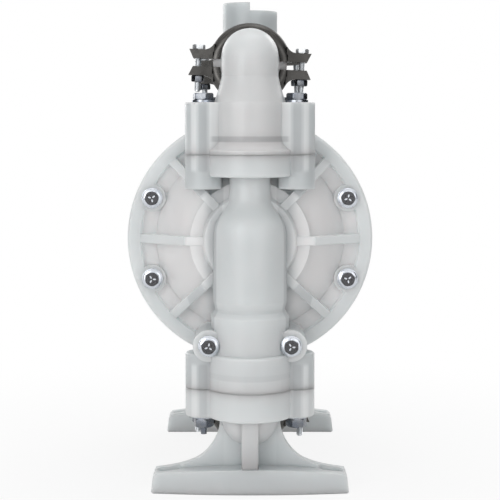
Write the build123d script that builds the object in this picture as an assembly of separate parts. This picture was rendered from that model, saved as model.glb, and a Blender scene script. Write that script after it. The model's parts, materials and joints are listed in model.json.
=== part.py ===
from build123d import *
import math
import os

# Air operated double diaphragm pump. Millimetres, +Z up.
# The shaft lies along Y, midway between two liquid chambers; -Y is the front.
# The origin is the middle of the foot bolt pattern, on the surface the pump stands on.

# Overall layout
COLUMN_Y = 90.0          # each column of ball checks stands this far from the middle
SHAFT_Z = 172.5
PIPE_RISE = 122.0        # manifold pipes lie this far above and below the shaft
INLET_Z = SHAFT_Z - PIPE_RISE
OUTLET_Z = SHAFT_Z + PIPE_RISE
LOWER_SEAM_Z = 71.5
UPPER_SEAM_Z = 232.0

# Liquid chamber
RIM_R = 86.0
RIM_BACK = 58.0          # distances called back, front and face are measured from the middle
RIM_FRONT = 70.0
RIM_BAND = 9.0
POCKET_FLOOR = 65.5
DOME_R = 66.0
HUB_R = 41.5
HUB_FACE = 91.0
CROWN_R = 31.0
CROWN_FACE = 95.0
CHAMBER_WALL = 5.0
RIB_THICKNESS = 6.0
RIB_COUNT = 8
RIM_BOLT_R = 74.2
RIM_BOLT_ANGLE = 22.5
RIM_BOSS_R = 9.5
LUG_X = 28.0
LUG_RISE = 70.4
LUG_R = 10.9
LUG_FACE = 105.0
CLEARANCE_R = 3.4        # clearance hole for an M6 bolt

# Flow tube in front of the chamber
TUBE_R = 25.3
TUBE_NECK_R = 24.2
TUBE_COLLAR_R = 26.9
TUBE_TIP_R = 14.0
TUBE_COLLAR_TOP = 121.0
TUBE_SHOULDER = 175.5
FLOW_R = 14.0
PASSAGE_R = 12.5         # passage from the diaphragm cavity to the outlet seat
PASSAGE_START = (0, -76, 203)

# Bolted column joints
JOINT_R = 30.0
JOINT_BOLT_X = 32.0
JOINT_BOSS_R = 12.5
JOINT_EDGE = 1.8         # rounding of the free edges of a joint
UPPER_PLATE_Z = 217.0
UPPER_BOSS_Z = 208.5
LOWER_JOINT_TOP = 96.0
FOOT_JOINT_BOTTOM = 51.8

# Outlet elbow
CAGE_COLUMN_R = 24.6
ELBOW_BOSS_TOP = 267.5
TAPER_TOP = 285.0
PIPE_R = 19.5
ELBOW_CROWN = 4.0        # height of the crown's centre over the pipe's axis

# Foot
FOOT_WIDTH = 135.6
FOOT_BACK = 81.0
FOOT_FRONT = 102.0
FOOT_BOW = 5.0           # the foot's front stands this much further out in the middle
FOOT_END_HEIGHT = 13.5
FOOT_MIDDLE_HEIGHT = 17.0
FOOT_DRAFT = 1.2
WEB_BACK = 83.0
WEB_FRONT = 91.0
RIB_WIDTH = 11.5
RIB_FRONT = 105.0
SLOT_X = 56.0
SLOT_Y = 91.5
SLOT_R = 4.5
SLOT_LENGTH = 16.0       # from end to end
CORE_INNER_X = 9.0       # pockets under the foot, between the rib and the slots
CORE_OUTER_X = 43.0
CORE_WIDTH = 12.0
CORE_DEPTH = 9.0

# Ball checks
BALL_R = 16.0
SEAT_BORE_R = 10.0
SEAT_R = 22.0
SEAT_HEIGHT = 8.5
SEAT_CONE = 6.0          # depth and width of the seat's cone
SEAT_RING_HEIGHT = 3.5
CAGE_R = 19.5
CAGE_TOP = 34.5          # above the seam
CAGE_THROAT = 48.0
GUIDE_THICKNESS = 3.0
BALL_GAP = 0.05

# Manifold joints and V-band clamps; a pipe is its height and its joint faces' distance from the middle
INLET_PIPE = (INLET_Z, 52.0)
OUTLET_PIPE = (OUTLET_Z, 57.5)
PIPE_FLANGE_R = 26.0
PIPE_FLANGE_THICKNESS = 3.0
PIPE_FLANGE_TAPER = 3.5
SEAL_R = 17.0
SEAL_WIDTH = 3.0
SEAL_DEPTH = 2.6
BAND_R = 29.1
BAND_CROWN_HALF = 3.0    # half the width of the band's flat crown
BAND_HALF_WIDTH = 7.0
CLAMP_GAP = 5.6
CLAMP_TILT = 2.4
EAR_END = 43.0
EAR_HEIGHT = 6.3
EAR_WALL = 2.4
CLAMP_BOLT_X = 36.5

# Ports
PORT_BOSS_R = 20.3
PORT_REACH = 47.3
PORT_STEP = 6.0
PORT_LEAD_R = 13.6       # recess in the raised half of the rim, ahead of the thread
PORT_THREAD_R = 12.06    # minor radius of G 3/4
PORT_DEPTH = 18.0
AIR_THREAD_R = 5.72      # minor radius of G 1/4
AIR_DEPTH = 12.0

# Air side
DIAPHRAGM_THICKNESS = 3.0
DIAPHRAGM_R = 84.6
CONVOLUTION_R = 52.5
CONVOLUTION_SECTION = 6.5
PLATE_R = 42.0
INNER_RIM_BACK = 44.0
INNER_FLOOR = 37.0
INNER_RIB_COUNT = 8
INNER_RIB_THICKNESS = 4.0
CENTER_HALF = 30.0
CENTER_HALF_X = 42.0
CENTER_HALF_HEIGHT = 48.0
SHAFT_R = 8.0
STUD_R = 5.0
PLATE_BACK = 50.0
PLATE_STACK = 8.0        # height of the outer plate over the diaphragm
PILOT_R = 3.5
PILOT_HALF = 44.7
PILOT_DROP = 28.0
RUNNING_GAP = 0.05

# Fasteners
M6_R = 3.0
M6_FLANGE_R = 7.2
M6_CORNER_R = 5.4
M5_R = 2.4
M5_CORNER_R = 4.6
M5_NUT_HEIGHT = 4.6
CLAMP_BOLT_END = 11.6    # the bolt's end below the lower ear, nut included
ELBOW_WASHER_R = 7.8
M8_HEAD_R = 7.3
M8_HEAD_HEIGHT = 4.8
WASHER_THICKNESS = 1.6
FOOT_NUT_HEIGHT = 6.2
FOOT_WASHER_R = 7.6
FOOT_NUT_BOTTOM = FOOT_JOINT_BOTTOM - WASHER_THICKNESS - FOOT_NUT_HEIGHT
STUD_ENDS = {-1: 5.4, 1: 1.4}    # the left studs stand further out of their nuts than the right
STUD_TIP_R = 2.2
STUD_TOP = 88.5
ELBOW_BOLT_END = 221.0
THREAD_PLAY = 0.15       # radial play in a tapped hole
SCREW_HEAD_R = 5.0
SCREW_SEAT = 33.5

# Air valve, on the +X side of the centre body
VALVE_FACE = 43.5
VALVE_END = 76.0
VALVE_HALF_WIDTH = 24.0
VALVE_HALF_HEIGHT = 35.0
VALVE_CAP = 6.0
SPOOL_X = 60.0
SPOOL_R = 7.0
SPOOL_HALF = 28.0
SLEEVE_R = 11.0
PORT_SIDE_R = 4.0

# Muffler, on the -X side
MUFFLER_RISE = 24.0
MUFFLER_R = 16.0
MUFFLER_NECK_R = 9.0
MUFFLER_END = 80.0

COS_45 = math.cos(math.pi / 4)
SHAFT_AXIS = Axis((0, 0, SHAFT_Z), (0, 1, 0))
COLUMN_AXIS = Axis((0, -COLUMN_Y, 0), (0, 0, 1))
# In this plane x is the radius and y the distance from the middle towards the front.
SHAFT_PLANE = Plane(origin=(0, 0, SHAFT_Z), x_dir=(1, 0, 0), z_dir=(0, 0, -1))
COLUMN_PLANE = Plane(origin=(0, -COLUMN_Y, 0), x_dir=(1, 0, 0), z_dir=(0, -1, 0))


def write(name, shape):
    """Write one node, as a compound if it holds several solids."""
    solids = shape.solids()
    export_step(solids[0] if len(solids) == 1 else Compound(children=list(solids)), f"parts/{name}.step")


def rear(shape):
    """The same piece at the other end of the pump."""
    return shape.rotate(Axis.Z, 180)


def both_ends(shape):
    return Compound(children=list(shape.solids()) + list(rear(shape).solids()))


def group(shapes):
    return Compound(children=[solid for shape in shapes for solid in shape.solids()])


def turned(plane, axis, *edges):
    """A solid of revolution from a closed chain of edges in the plane."""
    return revolve(plane * make_face(edges), axis)


def about_shaft(*points):
    return turned(SHAFT_PLANE, SHAFT_AXIS, Polyline(*points, close=True))


def about_column(*points):
    return turned(COLUMN_PLANE, COLUMN_AXIS, Polyline(*points, close=True))


def along_y(x, z, radius, near, far):
    """A cylinder on the front side, parallel to the shaft, between two distances from the middle."""
    plane = Plane(origin=(x, -near, z), x_dir=(1, 0, 0), z_dir=(0, -1, 0))
    return extrude(plane * Circle(radius), far - near)


def along_x(start, end, y, z, radius):
    plane = Plane(origin=(start, y, z), x_dir=(0, 1, 0), z_dir=(1, 0, 0))
    return extrude(plane * Circle(radius), end - start)


def upright(x, y, radius, bottom, top):
    return extrude(Pos(x, y, bottom) * Circle(radius), top - bottom)


def hexagon_along(plane, corner_r, height):
    """A hexagonal head or nut with its corners turned off."""
    body = extrude(plane * RegularPolygon(corner_r, 6), height)
    turned_edge = extrude(plane * Circle(corner_r * 0.985), height)
    return body & chamfer(turned_edge.edges(), corner_r * 0.12)


def joint_outline():
    """Plan of a column joint: a round flange with a bolt boss on each side."""
    return Circle(JOINT_R) + SlotCenterToCenter(2 * JOINT_BOLT_X, 2 * JOINT_BOSS_R)


def joint_block(bottom, top, free_face):
    """One half of a front column joint, with its bottom edges rounded if free_face is 0, or its top ones if -1."""
    block = extrude(Pos(0, -COLUMN_Y, bottom) * joint_outline(), top - bottom)
    return fillet(block.faces().sort_by(Axis.Z)[free_face].edges(), JOINT_EDGE)


def joint_bolt_holes(bottom, top, radius=CLEARANCE_R):
    return [upright(side * JOINT_BOLT_X, -COLUMN_Y, radius, bottom, top) for side in (-1, 1)]


def rim_bolt_places():
    """Bolts round the chamber rim as (x, z, face of the boss)."""
    places = []
    for turn in (RIM_BOLT_ANGLE, 180 - RIM_BOLT_ANGLE, 180 + RIM_BOLT_ANGLE, 360 - RIM_BOLT_ANGLE):
        angle = math.radians(turn)
        places.append((RIM_BOLT_R * math.cos(angle), SHAFT_Z + RIM_BOLT_R * math.sin(angle), RIM_FRONT))
    for side in (-1, 1):
        places.append((side * LUG_X, SHAFT_Z - LUG_RISE, LUG_FACE))
        places.append((side * LUG_X, SHAFT_Z + LUG_RISE, RIM_FRONT))
    return places


# Ball checks, each above its seam

def cage_space(seam):
    """The seat pocket and ball cage above a seam, less the guides that keep the ball central."""
    space = about_column(
        (0, seam), (SEAT_R, seam), (SEAT_R, seam + SEAT_HEIGHT + SEAT_RING_HEIGHT),
        (CAGE_R, seam + SEAT_HEIGHT + SEAT_RING_HEIGHT), (CAGE_R, seam + CAGE_TOP),
        (FLOW_R, seam + CAGE_THROAT), (0, seam + CAGE_THROAT),
    )
    guide_bottom = seam + SEAT_HEIGHT + SEAT_RING_HEIGHT
    guide_height = CAGE_TOP + seam - guide_bottom
    core = upright(0, -COLUMN_Y, BALL_R + 0.6, guide_bottom, guide_bottom + guide_height)
    for turn in (0, 90):
        cross = Box(2 * SEAT_R, GUIDE_THICKNESS, guide_height, align=(Align.CENTER, Align.CENTER, Align.MIN))
        guides = Pos(0, -COLUMN_Y, guide_bottom) * (Rot(0, 0, 45 + turn) * cross)
        space -= guides - core
    return space


def valve_seat(seam):
    """A seat ring with a 45 degree cone for the ball."""
    lip = seam + SEAT_HEIGHT
    return about_column(
        (SEAT_BORE_R, seam), (SEAT_R - 0.1, seam), (SEAT_R - 0.1, lip),
        (SEAT_BORE_R + SEAT_CONE, lip), (SEAT_BORE_R, lip - SEAT_CONE),
    )


def seat_ring(seam):
    low = seam + SEAT_HEIGHT
    section = Pos(SEAT_R - 0.2 - SEAT_RING_HEIGHT / 2, low + SEAT_RING_HEIGHT / 2)
    section *= RectangleRounded(SEAT_RING_HEIGHT, SEAT_RING_HEIGHT - 0.02, 1.2)
    return revolve(COLUMN_PLANE * section, COLUMN_AXIS)


def ball(seam):
    touch_r = BALL_R * COS_45
    touch_z = seam + SEAT_HEIGHT - SEAT_CONE + touch_r - SEAT_BORE_R
    return Pos(0, -COLUMN_Y, touch_z + touch_r + BALL_GAP) * Sphere(BALL_R)


# Liquid chamber

def chamber_rib():
    """One radial rib, falling from the hub to the rim band."""
    inner_r = RIM_R - RIM_BAND
    side = Polyline((20, RIM_BACK + 3), (inner_r + 3, RIM_BACK + 3), (inner_r + 3, RIM_FRONT),
                    (inner_r, RIM_FRONT), (HUB_R + 4, HUB_FACE + 0.5), (20, CROWN_FACE - 1), close=True)
    return extrude(SHAFT_PLANE * make_face(side), RIB_THICKNESS / 2, both=True)


def flow_tube():
    """The bottle-shaped tube that carries the liquid up in front of the dome."""
    bottom = LOWER_SEAM_Z + 5
    waist = TUBE_COLLAR_TOP + 4
    barrel = TUBE_COLLAR_TOP + 10
    tip = UPPER_BOSS_Z
    reach = 0.55 * (tip - TUBE_SHOULDER)
    collar = Polyline((0, bottom), (TUBE_COLLAR_R, bottom), (TUBE_COLLAR_R, TUBE_COLLAR_TOP), (TUBE_NECK_R, waist),
                      (TUBE_NECK_R, waist + 2), (TUBE_R, barrel), (TUBE_R, TUBE_SHOULDER))
    shoulder = Bezier((TUBE_R, TUBE_SHOULDER), (TUBE_R, TUBE_SHOULDER + reach), (TUBE_TIP_R, tip - reach),
                      (TUBE_TIP_R, tip))
    top = UPPER_PLATE_Z + 2
    neck = Polyline((TUBE_TIP_R, tip), (TUBE_TIP_R, top), (0, top), (0, bottom))
    return turned(COLUMN_PLANE, COLUMN_AXIS, collar, shoulder, neck)


def outer_chamber():
    inner_r = RIM_R - RIM_BAND
    outline = [
        Polyline((0, RIM_BACK), (RIM_R, RIM_BACK), (RIM_R, RIM_FRONT - 1.5), (RIM_R - 1.5, RIM_FRONT),
                 (inner_r, RIM_FRONT), (inner_r - 1, POCKET_FLOOR), (DOME_R, POCKET_FLOOR)),
        ThreePointArc((DOME_R, POCKET_FLOOR), (56, 78.5), (HUB_R, 87.5)),
        Polyline((HUB_R, 87.5), (HUB_R, HUB_FACE), (CROWN_R + 2, HUB_FACE), (CROWN_R, CROWN_FACE),
                 (0, CROWN_FACE), (0, RIM_BACK)),
    ]
    body = turned(SHAFT_PLANE, SHAFT_AXIS, *outline)
    for index in range(RIB_COUNT):
        body += chamber_rib().rotate(SHAFT_AXIS, index * 360 / RIB_COUNT)
    for x, z, face in rim_bolt_places():
        body += along_y(x, z, LUG_R if face == LUG_FACE else RIM_BOSS_R, RIM_BACK, face)
    body += flow_tube()
    body += joint_block(LOWER_SEAM_Z, LOWER_JOINT_TOP, -1)
    body += joint_block(UPPER_PLATE_Z, UPPER_SEAM_Z, 0)
    for side in (-1, 1):
        body += upright(side * JOINT_BOLT_X, -COLUMN_Y, JOINT_BOSS_R, UPPER_BOSS_Z, UPPER_SEAM_Z)
        body -= along_y(side * LUG_X, SHAFT_Z - LUG_RISE, M6_FLANGE_R + 0.5, LUG_FACE, COLUMN_Y + TUBE_COLLAR_R)
    # everything stops at the back of the rim
    body -= Pos(0, 0, SHAFT_Z) * Box(4 * RIM_R, 2 * RIM_BACK, 4 * RIM_R)
    # relief behind the outlet elbow
    body -= upright(0, -COLUMN_Y, JOINT_R + 0.6, UPPER_SEAM_Z, UPPER_SEAM_Z + 8)
    body -= upright(0, -COLUMN_Y, CAGE_COLUMN_R + 0.6, UPPER_SEAM_Z, SHAFT_Z + RIM_R + 5)
    slot = SlotCenterToCenter(2 * JOINT_BOLT_X, 2 * JOINT_BOSS_R + 1)
    slot = extrude(Pos(0, -COLUMN_Y, UPPER_SEAM_Z) * slot, 40)
    body -= slot
    # diaphragm cavity
    wall = CHAMBER_WALL
    cavity = [
        Polyline((0, RIM_BACK), (DOME_R - 4, RIM_BACK), (DOME_R - 4, POCKET_FLOOR - wall)),
        ThreePointArc((DOME_R - 4, POCKET_FLOOR - wall), (52, 74.5), (HUB_R - wall, 84)),
        Polyline((HUB_R - wall, 84), (CROWN_R - 4, CROWN_FACE - wall - 2), (0, CROWN_FACE - wall - 2),
                 (0, RIM_BACK)),
    ]
    body -= turned(SHAFT_PLANE, SHAFT_AXIS, *cavity)
    # passages: up the tube from the inlet ball, and out to the outlet seat
    body -= cage_space(LOWER_SEAM_Z)
    body -= upright(0, -COLUMN_Y, FLOW_R, LOWER_SEAM_Z + CAGE_THROAT - 1, TUBE_SHOULDER + 4)
    start = Vector(*PASSAGE_START)
    end = Vector(0, -COLUMN_Y, UPPER_SEAM_Z)
    slope = (end - start).normalized()
    passage = extrude(Plane(origin=start, z_dir=slope) * Circle(PASSAGE_R), (end - start).length + PASSAGE_R)
    above = Pos(0, -COLUMN_Y, UPPER_SEAM_Z + 20) * Box(100, 100, 40)
    body -= passage - above
    # bolt holes
    for x, z, face in rim_bolt_places():
        body -= along_y(x, z, CLEARANCE_R, RIM_BACK - 1, face + 1)
    for hole in joint_bolt_holes(LOWER_SEAM_Z - 1, STUD_TOP + 1, M6_R + THREAD_PLAY):
        body -= hole
    for hole in joint_bolt_holes(ELBOW_BOLT_END - 1, UPPER_SEAM_Z + 1, M6_R + THREAD_PLAY):
        body -= hole
    return body


# Elbows and foot

def pipe_plane(height):
    """The plane for turning about a pipe: x is the radius, y the distance from the middle to the front."""
    return Plane(origin=(0, 0, height), x_dir=(1, 0, 0), z_dir=(0, 0, -1))


def elbow_arm(pipe):
    """The level arm of a front elbow, with its half of the clamped joint."""
    height, joint_y = pipe
    rim_end = joint_y + PIPE_FLANGE_THICKNESS
    outline = Polyline((0, joint_y), (PIPE_FLANGE_R, joint_y), (PIPE_FLANGE_R, rim_end),
                       (PIPE_R, rim_end + PIPE_FLANGE_TAPER), (PIPE_R, COLUMN_Y), (0, COLUMN_Y), close=True)
    return turned(pipe_plane(height), Axis((0, 0, height), (0, 1, 0)), outline)


def arm_space(pipe):
    """The bore of an elbow's level arm with the seal groove in its face."""
    height, joint_y = pipe
    groove_end = joint_y + SEAL_DEPTH
    bore = along_y(0, height, FLOW_R, joint_y - 1, COLUMN_Y)
    groove = along_y(0, height, SEAL_R + SEAL_WIDTH / 2 + 0.1, joint_y, groove_end)
    return bore + (groove - along_y(0, height, SEAL_R - SEAL_WIDTH / 2 - 0.1, joint_y, groove_end))


def manifold_seal(pipe):
    height, joint_y = pipe
    outer = along_y(0, height, SEAL_R + SEAL_WIDTH / 2, joint_y + 0.02, joint_y + SEAL_DEPTH)
    return outer - along_y(0, height, SEAL_R - SEAL_WIDTH / 2, joint_y, joint_y + SEAL_DEPTH + 1)


def outlet_elbow():
    seam = UPPER_SEAM_Z
    crown = OUTLET_Z + ELBOW_CROWN
    column = [
        Polyline((0, seam), (JOINT_R, seam), (JOINT_R, seam + 3)),
        ThreePointArc((JOINT_R, seam + 3), (26.3, seam + 6.4), (CAGE_COLUMN_R, seam + 11)),
        Line((CAGE_COLUMN_R, seam + 11), (CAGE_COLUMN_R, ELBOW_BOSS_TOP)),
        ThreePointArc((CAGE_COLUMN_R, ELBOW_BOSS_TOP), (21.4, 277), (PIPE_R, TAPER_TOP)),
        Line((PIPE_R, TAPER_TOP), (PIPE_R, crown)),
        ThreePointArc((PIPE_R, crown), (PIPE_R * COS_45, crown + PIPE_R * COS_45), (0, crown + PIPE_R)),
        Line((0, crown + PIPE_R), (0, seam)),
    ]
    body = turned(COLUMN_PLANE, COLUMN_AXIS, *column)
    bosses = SlotCenterToCenter(2 * JOINT_BOLT_X, 2 * JOINT_BOSS_R)
    bosses = extrude(Pos(0, -COLUMN_Y, seam) * bosses, ELBOW_BOSS_TOP - seam)
    body += chamfer(bosses.faces().sort_by(Axis.Z)[-1].edges(), 0.6)
    body += elbow_arm(OUTLET_PIPE)
    for side in (-1, 1):
        spotface = upright(side * JOINT_BOLT_X, -COLUMN_Y, ELBOW_WASHER_R + 0.4, ELBOW_BOSS_TOP, ELBOW_BOSS_TOP + 15)
        body -= spotface
    body -= cage_space(seam)
    body -= upright(0, -COLUMN_Y, FLOW_R, seam + CAGE_THROAT - 1, OUTLET_Z)
    body -= Pos(0, -COLUMN_Y, OUTLET_Z) * Sphere(FLOW_R)
    body -= arm_space(OUTLET_PIPE)
    for hole in joint_bolt_holes(seam - 1, ELBOW_BOSS_TOP + 1):
        body -= hole
    return body


def foot_slab():
    """The slab of the foot: bowed in front, drafted at its ends and highest in the middle."""
    half = FOOT_WIDTH / 2
    top = half - FOOT_DRAFT
    plan = make_face([
        Polyline((half, -FOOT_FRONT), (half, -FOOT_BACK), (-half, -FOOT_BACK), (-half, -FOOT_FRONT)),
        ThreePointArc((-half, -FOOT_FRONT), (0, -FOOT_FRONT - FOOT_BOW), (half, -FOOT_FRONT)),
    ])
    outline = make_face([
        Polyline((top - 2, FOOT_END_HEIGHT), (top, FOOT_END_HEIGHT - 2), (half, 1), (half - 1, 0),
                 (1 - half, 0), (-half, 1), (-top, FOOT_END_HEIGHT - 2), (2 - top, FOOT_END_HEIGHT)),
        ThreePointArc((2 - top, FOOT_END_HEIGHT), (0, FOOT_MIDDLE_HEIGHT), (top - 2, FOOT_END_HEIGHT)),
    ])
    face = Plane(origin=(0, -FOOT_BACK, 0), x_dir=(1, 0, 0), z_dir=(0, -1, 0))
    slab = extrude(face * outline, FOOT_FRONT + FOOT_BOW - FOOT_BACK)
    slab &= extrude(plan, FOOT_MIDDLE_HEIGHT + 1)
    core_length = CORE_OUTER_X - CORE_INNER_X
    core = fillet(Box(core_length, CORE_WIDTH, 2 * CORE_DEPTH).edges().filter_by(Axis.Z), 2)
    for side in (-1, 1):
        slab -= Pos(side * (CORE_INNER_X + core_length / 2), -SLOT_Y, 0) * core
    return slab


def foot_web():
    """The cross web that spreads the load from the pipe to the ends of the foot."""
    reach = FOOT_WIDTH / 2 - FOOT_DRAFT - 1
    top = FOOT_JOINT_BOTTOM - 3
    sweep = [(reach, FOOT_END_HEIGHT + 0.5), (52, 16.1), (44.6, 18), (34.7, 22.4), (26.7, 30.5),
             (22.1, 39.7), (21, top)]
    left = [(-x, z) for x, z in reversed(sweep)]
    profile = make_face([
        Spline(*sweep), Line((21, top), (-21, top)), Spline(*left),
        Polyline(left[-1], (-reach, 10), (reach, 10), sweep[0]),
    ])
    middle = Plane(origin=(0, -WEB_BACK, 0), x_dir=(1, 0, 0), z_dir=(0, -1, 0))
    return extrude(middle * profile, WEB_FRONT - WEB_BACK)


def foot_elbow():
    body = joint_block(FOOT_JOINT_BOTTOM, LOWER_SEAM_Z, 0)
    body += Pos(0, -COLUMN_Y, INLET_Z) * Sphere(PIPE_R)
    body += elbow_arm(INLET_PIPE)
    body += foot_slab()
    body += foot_web()
    rib = Box(RIB_WIDTH, RIB_FRONT - WEB_BACK + 8, FOOT_JOINT_BOTTOM - 8,
              align=(Align.CENTER, Align.MIN, Align.MIN))
    body += Pos(0, -RIB_FRONT, 10) * rib
    body -= upright(0, -COLUMN_Y, FLOW_R, INLET_Z, LOWER_SEAM_Z + 1)
    body -= Pos(0, -COLUMN_Y, INLET_Z) * Sphere(FLOW_R)
    body -= arm_space(INLET_PIPE)
    for hole in joint_bolt_holes(FOOT_JOINT_BOTTOM - 1, LOWER_SEAM_Z + 1):
        body -= hole
    for side in (-1, 1):
        slot = SlotCenterToCenter(SLOT_LENGTH - 2 * SLOT_R, 2 * SLOT_R)
        body -= extrude(Pos(side * SLOT_X, -SLOT_Y, -1) * slot, FOOT_MIDDLE_HEIGHT + 3)
    return body


# Manifolds and clamps

def manifold(pipe):
    """A centre manifold with its port boss pointing up; half of the boss's rim stands higher."""
    height, joint_y = pipe
    rim_end = joint_y - PIPE_FLANGE_THICKNESS
    outline = Polyline((0, 0), (PIPE_R, 0), (PIPE_R, rim_end - PIPE_FLANGE_TAPER), (PIPE_FLANGE_R, rim_end),
                       (PIPE_FLANGE_R, joint_y), (0, joint_y), close=True)
    half = turned(pipe_plane(height), Axis((0, 0, height), (0, 1, 0)), outline)
    top = height + PORT_REACH
    body = half + rear(half)
    body += upright(0, 0, PORT_BOSS_R, height, top)
    side = (Align.MIN, Align.CENTER, Align.CENTER)
    low_side = Box(2 * PORT_BOSS_R, 3 * PORT_BOSS_R, 2 * PORT_STEP, align=side)
    body -= Pos(0, 0, top) * low_side
    body -= along_y(0, height, FLOW_R, -joint_y - 1, joint_y + 1)
    body -= upright(0, 0, PORT_THREAD_R - 1.5, height, top)
    body -= upright(0, 0, PORT_THREAD_R, top - PORT_STEP - PORT_DEPTH, top - PORT_STEP)
    return body - upright(0, 0, PORT_LEAD_R, top - PORT_STEP, top + 1)


def clamp_ear():
    """A bolting ear: a channel open towards the gap and at its slanted outer end."""
    root = PIPE_FLANGE_R + 0.4
    top = CLAMP_GAP / 2 + EAR_HEIGHT
    side = make_face(Polyline((root, CLAMP_GAP / 2), (EAR_END - 3, CLAMP_GAP / 2), (EAR_END, top), (root, top),
                              close=True))
    ear = extrude(Plane.XZ * side, BAND_HALF_WIDTH, both=True)
    core = Box(30, 2 * BAND_HALF_WIDTH - 2 * EAR_WALL, top - EAR_WALL, align=(Align.MIN, Align.CENTER, Align.MIN))
    ear -= Pos(root + 3, 0, 0) * core
    return ear - Pos(CLAMP_BOLT_X, 0, 0) * Cylinder(M5_R + 0.3, 40)


def band_half():
    """Upper half of a V-band clamp about a Y axis through the origin."""
    cheek = PIPE_FLANGE_THICKNESS + 0.2
    inner = PIPE_FLANGE_R + 0.3
    hook_r = PIPE_R + 1.6
    hook = cheek + PIPE_FLANGE_TAPER * (inner - hook_r) / (PIPE_FLANGE_R - PIPE_R)
    width = BAND_HALF_WIDTH
    swell = (BAND_R - 1.6, width - 1.3)
    ring = turned(
        pipe_plane(0), Axis.Y,
        ThreePointArc((BAND_R, BAND_CROWN_HALF), swell, (hook_r, width)),
        Polyline((hook_r, width), (hook_r, hook), (inner, cheek), (inner, -cheek), (hook_r, -hook),
                 (hook_r, -width)),
        ThreePointArc((hook_r, -width), (swell[0], -swell[1]), (BAND_R, -BAND_CROWN_HALF)),
        Line((BAND_R, -BAND_CROWN_HALF), (BAND_R, BAND_CROWN_HALF)))
    ring -= Pos(0, 0, CLAMP_GAP / 2 - 50) * Box(200, 100, 100)
    ear = clamp_ear()
    return ring + ear + ear.mirror(Plane.YZ)


def clamp_place(pipe):
    """Where the front clamp of a pipe stands, a little off level."""
    height, joint_y = pipe
    return Pos(0, -joint_y, height) * Rot(0, CLAMP_TILT, 0)


def clamp(pipe):
    upper = band_half()
    return clamp_place(pipe) * group([upper, upper.rotate(Axis.Y, 180)])


def clamp_bolts(pipe):
    ear_face = CLAMP_GAP / 2 + EAR_HEIGHT
    bolts = []
    for side in (-1, 1):
        shank = upright(side * CLAMP_BOLT_X, 0, M5_R, -ear_face - CLAMP_BOLT_END, ear_face)
        bolts.append(shank + hexagon_along(Plane((side * CLAMP_BOLT_X, 0, ear_face)), M5_CORNER_R, 3.5))
    return clamp_place(pipe) * group(bolts)


def clamp_nuts(pipe):
    bottom = -CLAMP_GAP / 2 - EAR_HEIGHT - M5_NUT_HEIGHT
    nuts = []
    for side in (-1, 1):
        nut = hexagon_along(Plane((side * CLAMP_BOLT_X, 0, bottom)), M5_CORNER_R, M5_NUT_HEIGHT)
        nuts.append(nut - upright(side * CLAMP_BOLT_X, 0, M5_R + 0.03, bottom - 1, 0))
    return clamp_place(pipe) * group(nuts)


# Air side

def diaphragm():
    """Rubber disc clamped at its rim, with one round convolution and a hole for the shaft end."""
    face = RIM_BACK
    back = RIM_BACK - DIAPHRAGM_THICKNESS
    section = make_face(Polyline((5.2, back), (DIAPHRAGM_R, back), (DIAPHRAGM_R, face), (5.2, face), close=True))
    bulge = Pos(CONVOLUTION_R, face) * Circle(CONVOLUTION_SECTION + DIAPHRAGM_THICKNESS)
    below = Pos(CONVOLUTION_R, back - 10) * Rectangle(40, 20)
    section += bulge & below
    section -= Pos(CONVOLUTION_R, face) * Circle(CONVOLUTION_SECTION)
    body = revolve(SHAFT_PLANE * section, SHAFT_AXIS)
    for x, z, _ in rim_bolt_places():
        body -= along_y(x, z, CLEARANCE_R, back - 1, face + 1)
    return body


def inner_chamber():
    """Air chamber shell between the centre body and the diaphragm."""
    back = RIM_BACK - DIAPHRAGM_THICKNESS
    body = about_shaft(
        (SHAFT_R + 4, CENTER_HALF), (40, CENTER_HALF), (66, INNER_RIM_BACK), (RIM_R, INNER_RIM_BACK),
        (RIM_R, back), (DOME_R - 2, back), (48, INNER_FLOOR), (SHAFT_R + 4, INNER_FLOOR),
    )
    side = Polyline((38, CENTER_HALF + 1), (44, CENTER_HALF + 1), (RIM_R - 8, INNER_RIM_BACK - 3.5),
                    (RIM_R - 3, INNER_RIM_BACK + 2), (64, INNER_RIM_BACK + 2), (38, INNER_FLOOR - 2), close=True)
    rib = extrude(SHAFT_PLANE * make_face(side), INNER_RIB_THICKNESS / 2, both=True)
    for index in range(INNER_RIB_COUNT):
        body += rib.rotate(SHAFT_AXIS, index * 360 / INNER_RIB_COUNT)
    for x, z, face in rim_bolt_places():
        body -= along_y(x, z, CLEARANCE_R, 0, face)
    for x, z in inner_screw_places():
        body -= along_y(x, z, CLEARANCE_R, 0, 60)
        body -= along_y(x, z, SCREW_HEAD_R + 0.3, SCREW_SEAT, 60)
    body -= along_y(0, SHAFT_Z - PILOT_DROP, PILOT_R + 3, 0, 60)
    return body


def inner_screw_places():
    """Screws that hold an inner chamber to the centre body."""
    return [(x, SHAFT_Z + z) for x in (-26, 26) for z in (-20, 20)]


def center_body():
    block = Box(2 * CENTER_HALF_X, 2 * CENTER_HALF, 2 * CENTER_HALF_HEIGHT)
    block = fillet(block.edges().filter_by(Axis.Y), 12)
    body = Pos(0, 0, SHAFT_Z) * block
    body -= along_y(0, SHAFT_Z, SHAFT_R + 4, -CENTER_HALF - 1, CENTER_HALF + 1)
    body -= along_y(0, SHAFT_Z - PILOT_DROP, PILOT_R + 3, -CENTER_HALF - 1, CENTER_HALF + 1)
    for x, z in inner_screw_places():
        body -= along_y(x, z, M6_R + 0.15, -CENTER_HALF - 1, CENTER_HALF + 1)
    body -= along_x(-CENTER_HALF_X - 1, -CENTER_HALF_X + 13, 0, SHAFT_Z + MUFFLER_RISE, MUFFLER_NECK_R)
    body -= along_x(CENTER_HALF_X - 16, CENTER_HALF_X + 1, 0, SHAFT_Z, PORT_SIDE_R)
    for y, z in valve_bolt_places():
        body -= along_x(CENTER_HALF_X - 14, CENTER_HALF_X + 1, y, z, M5_R + 0.1)
    return body


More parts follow.
